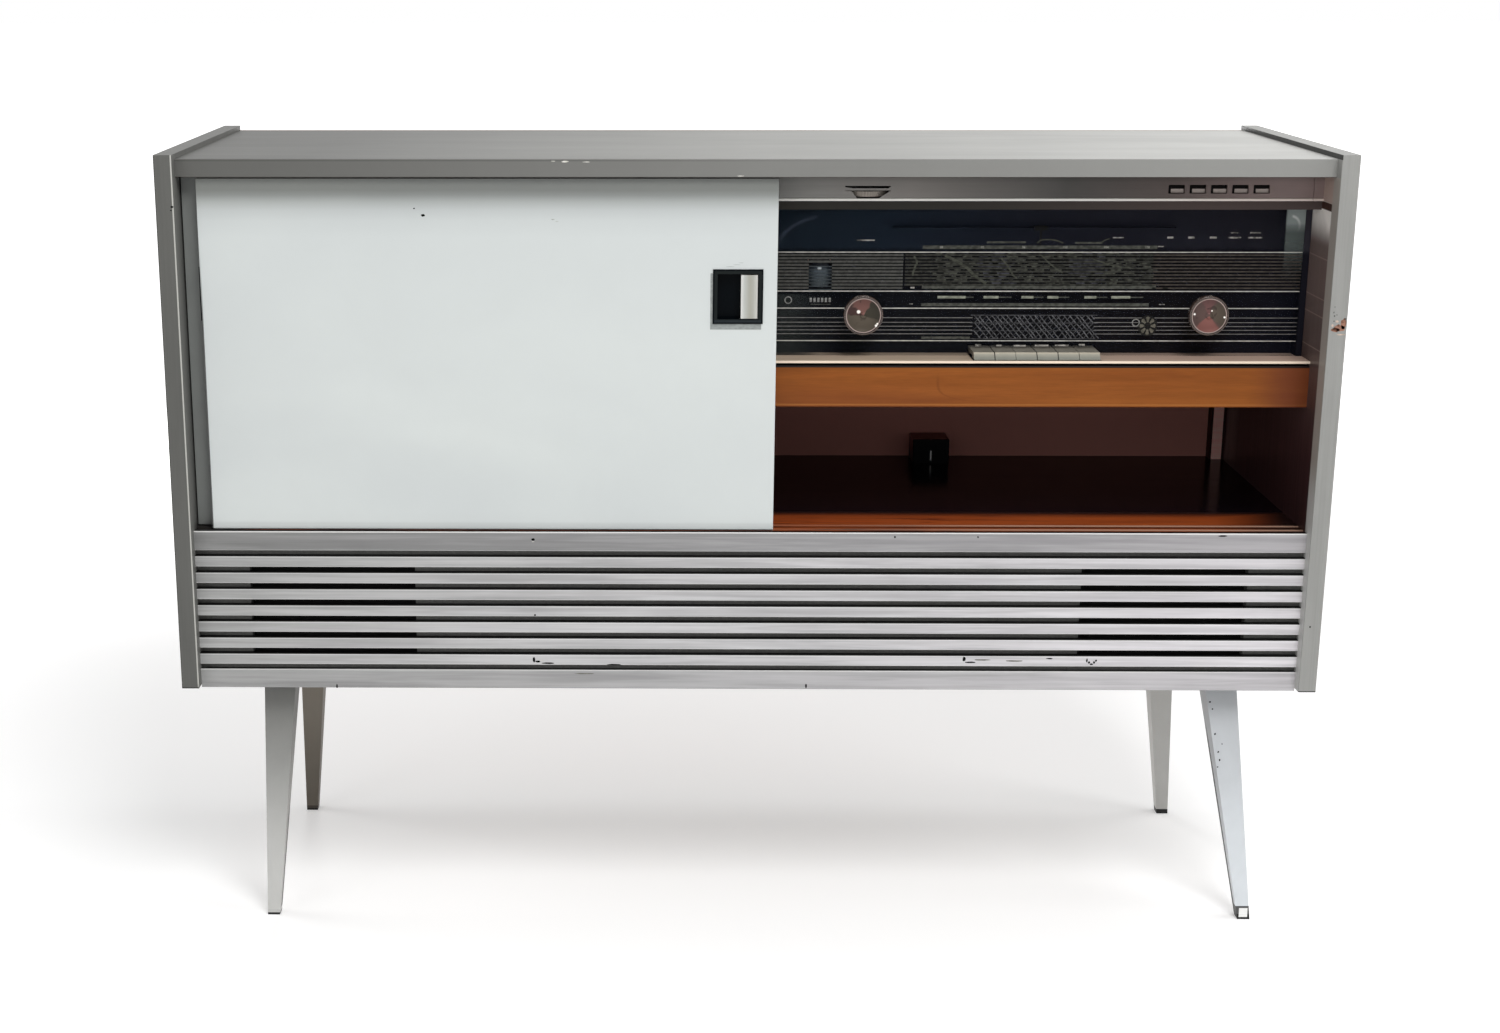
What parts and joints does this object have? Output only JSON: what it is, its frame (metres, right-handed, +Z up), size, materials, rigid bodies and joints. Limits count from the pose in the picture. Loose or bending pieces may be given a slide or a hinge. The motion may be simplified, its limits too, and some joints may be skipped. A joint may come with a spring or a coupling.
{
  "type": "stereo music centre",
  "caption": "Long low cabinet with sliding doors over a record deck and a radio tuner, a slatted speaker grille below, and splayed tapered legs.",
  "frame": {"origin": "on the floor under the middle of the cabinet", "axes": "+X to the right seen from the front and along the cabinet, +Y to the back, +Z up; the grille and doors face -Y"},
  "size_m": [1.18, 0.372, 0.823],
  "materials": {
    "side_paint": "silver-grey satin lacquer with fine brush streaks",
    "top_paint": "silver-grey satin lacquer with fine brush streaks",
    "slat_paint": "silver-grey satin lacquer with fine brush streaks",
    "baffle_paint": "flat grey paint",
    "bottom_wood": "bare pressed board",
    "track_wood": "varnished wood, orange brown",
    "floor_gloss": "black polished lacquer",
    "partition_wood": "dark brown stained wood",
    "back_board": "dark brown hardboard",
    "screw_steel": "zinc plated",
    "batten_wood": "dark stained wood",
    "cloth_black": "black woven speaker cloth",
    "basket_steel": "grey stove enamel",
    "cone_paper": "dark pressed paper",
    "magnet_iron": "dark grey ferrite",
    "leg_paint": "silver-grey satin lacquer",
    "foot_cap": "worn pale metal ferrule",
    "leg_plate": "black enamel",
    "door_white": "off-white gloss lacquer",
    "door_grey": "bluish grey lacquer",
    "pull_black": "black moulded plastic with a pale grip bar",
    "ledge_beige": "beige lacquered shelf",
    "rail_orange": "orange-brown varnished veneer",
    "strip_silver": "brushed silver trim with a bright lower lip",
    "glass_dial": "clear dial glass with printed scale",
    "plate_black": "matt black",
    "eye_glass": "bluish grey valve glass",
    "pointer_white": "pale pointer",
    "knob_clear": "clear acrylic over a rose-brown metallic face",
    "spindle_steel": "turned steel",
    "wheel_black": "dark ribbed thumbwheel",
    "button_pale": "pale grey plastic",
    "key_beige": "beige plastic",
    "chassis_steel": "plated sheet steel",
    "transformer_iron": "varnished iron laminations",
    "capacitor_alu": "aluminium vanes",
    "valve_glass": "clear valve glass",
    "socket_black": "black moulded plastic",
    "rear_plate": "brown phenolic board",
    "deck_board_wood": "dark stained board",
    "deck_enamel": "cream hammered enamel",
    "motor_steel": "plated steel can",
    "platter_alu": "spun aluminium",
    "arm_base_black": "black plastic",
    "arm_steel": "bright plated",
    "arm_grey": "grey lacquered tube with a plated counterweight",
    "lever_black": "black plastic"
  },
  "bodies": {
    "cabinet": {"back_panel": "back_board", "back_screws": "screw_steel", "bottom_panel": "bottom_wood", "center_partition": "partition_wood", "compartment_floor": "floor_gloss", "control_strip": "strip_silver", "deck_board": "deck_board_wood", "deck_motor": "motor_steel", "deck_plate": "deck_enamel", "dial_glass": "glass_dial", "dial_plate": "plate_black", "foot_caps": "foot_cap", "grille_bars": "slat_paint", "left_side_panel": "side_paint", "leg_plates": "leg_plate", "legs": "leg_paint", "lower_door_track": "track_wood", "magic_eye": "eye_glass", "mains_transformer": "transformer_iron", "radio_valves": "valve_glass", "rear_socket_plate": "rear_plate", "right_side_panel": "side_paint", "shelf_front_rail": "rail_orange", "socket_box": "socket_black", "speaker_baffle": "baffle_paint", "speaker_baskets": "basket_steel", "speaker_cloth": "cloth_black", "speaker_cones": "cone_paper", "speaker_magnets": "magnet_iron", "tonearm_base": "arm_base_black", "top_panel": "top_paint", "tuner_chassis": "chassis_steel", "tuner_shelf": "ledge_beige", "tuning_capacitor": "capacitor_alu", "wooden_battens": "batten_wood"},
    "front_door": {"front_door": "door_white", "front_door_pull": "pull_black"},
    "rear_door": {"rear_door": "door_grey", "rear_door_pull": "pull_black"},
    "volume_control": {"volume_knob": "knob_clear", "volume_spindle": "spindle_steel"},
    "tuning_control": {"tuning_knob": "knob_clear", "tuning_spindle": "spindle_steel"},
    "pointer": {"dial_pointer": "pointer_white"},
    "balance_control": {"balance_wheel": "wheel_black"},
    "platter": {"platter": "platter_alu"},
    "tonearm_pivot": {"tonearm_pivot": "arm_steel"},
    "tonearm": {"tonearm": "arm_grey"},
    "speed_lever": {"speed_lever": "lever_black"},
    "key_1": {"key_1": "key_beige"},
    "key_2": {"key_2": "key_beige"},
    "key_3": {"key_3": "key_beige"},
    "key_4": {"key_4": "key_beige"},
    "key_5": {"key_5": "key_beige"},
    "key_6": {"key_6": "key_beige"},
    "button_1": {"button_1": "button_pale"},
    "button_2": {"button_2": "button_pale"},
    "button_3": {"button_3": "button_pale"},
    "button_4": {"button_4": "button_pale"},
    "button_5": {"button_5": "button_pale"}
  },
  "joints": [
    {"name": "front_door_slide", "type": "slide", "parent": "cabinet", "child": "front_door", "axis": [1, 0, 0], "range_m": [-0.018, 0.546]},
    {"name": "rear_door_slide", "type": "slide", "parent": "cabinet", "child": "rear_door", "axis": [1, 0, 0], "range_m": [0, 0.564]},
    {"name": "volume_spin", "type": "hinge", "parent": "cabinet", "child": "volume_control", "pos_m": [0.1166, -0.126, 0.655], "axis": [0, 1, 0], "range_deg": [-150, 150]},
    {"name": "tuning_spin", "type": "hinge", "parent": "cabinet", "child": "tuning_control", "pos_m": [0.469, -0.126, 0.655], "axis": [0, 1, 0], "range_deg": [-1620, 1620]},
    {"name": "pointer_slide", "type": "slide", "parent": "cabinet", "child": "pointer", "axis": [1, 0, 0], "range_m": [-0.114, 0.114]},
    {"name": "balance_spin", "type": "hinge", "parent": "cabinet", "child": "balance_control", "pos_m": [0.1166, -0.1134, 0.7756], "axis": [0, 0, 1], "range_deg": [-60, 60]},
    {"name": "key_1_press", "type": "hinge", "parent": "cabinet", "child": "key_1", "pos_m": [0.241, -0.036, 0.615], "axis": [1, 0, 0], "range_deg": [0, 3], "stiffness_Nm_per_rad": 0.5, "springref_deg": -5.73},
    {"name": "key_2_press", "type": "hinge", "parent": "cabinet", "child": "key_2", "pos_m": [0.2626, -0.036, 0.615], "axis": [1, 0, 0], "range_deg": [0, 3], "stiffness_Nm_per_rad": 0.5, "springref_deg": -5.73},
    {"name": "key_3_press", "type": "hinge", "parent": "cabinet", "child": "key_3", "pos_m": [0.2842, -0.036, 0.615], "axis": [1, 0, 0], "range_deg": [0, 3], "stiffness_Nm_per_rad": 0.5, "springref_deg": -5.73},
    {"name": "key_4_press", "type": "hinge", "parent": "cabinet", "child": "key_4", "pos_m": [0.3058, -0.036, 0.615], "axis": [1, 0, 0], "range_deg": [0, 3], "stiffness_Nm_per_rad": 0.5, "springref_deg": -5.73},
    {"name": "key_5_press", "type": "hinge", "parent": "cabinet", "child": "key_5", "pos_m": [0.3274, -0.036, 0.615], "axis": [1, 0, 0], "range_deg": [0, 3], "stiffness_Nm_per_rad": 0.5, "springref_deg": -5.73},
    {"name": "key_6_press", "type": "hinge", "parent": "cabinet", "child": "key_6", "pos_m": [0.349, -0.036, 0.615], "axis": [1, 0, 0], "range_deg": [0, 3], "stiffness_Nm_per_rad": 0.5, "springref_deg": -5.73},
    {"name": "button_1_press", "type": "slide", "parent": "cabinet", "child": "button_1", "axis": [0, 1, 0], "range_m": [0, 0.003], "stiffness_N_per_m": 200, "springref_m": -0.002},
    {"name": "button_2_press", "type": "slide", "parent": "cabinet", "child": "button_2", "axis": [0, 1, 0], "range_m": [0, 0.003], "stiffness_N_per_m": 200, "springref_m": -0.002},
    {"name": "button_3_press", "type": "slide", "parent": "cabinet", "child": "button_3", "axis": [0, 1, 0], "range_m": [0, 0.003], "stiffness_N_per_m": 200, "springref_m": -0.002},
    {"name": "button_4_press", "type": "slide", "parent": "cabinet", "child": "button_4", "axis": [0, 1, 0], "range_m": [0, 0.003], "stiffness_N_per_m": 200, "springref_m": -0.002},
    {"name": "button_5_press", "type": "slide", "parent": "cabinet", "child": "button_5", "axis": [0, 1, 0], "range_m": [0, 0.003], "stiffness_N_per_m": 200, "springref_m": -0.002},
    {"name": "platter_spin", "type": "hinge", "parent": "cabinet", "child": "platter", "pos_m": [-0.335, 0.022, 0.517], "axis": [0, 0, -1], "continuous": true},
    {"name": "tonearm_swing", "type": "hinge", "parent": "cabinet", "child": "tonearm_pivot", "pos_m": [-0.145, 0.105, 0.558], "axis": [0, 0, -1], "range_deg": [0, 50.5]},
    {"name": "tonearm_lift", "type": "hinge", "parent": "tonearm_pivot", "child": "tonearm", "pos_m": [-0.145, 0.105, 0.558], "axis": [-1, 0, 0], "range_deg": [0, 12]},
    {"name": "speed_lever_turn", "type": "hinge", "parent": "cabinet", "child": "speed_lever", "pos_m": [-0.18, -0.08, 0.512], "axis": [0, 0, 1], "range_deg": [-30, 30]}
  ],
  "couplings": [
    {"joint": "pointer_slide", "follows": "tuning_spin", "m_per_rad": 0.004}
  ]
}
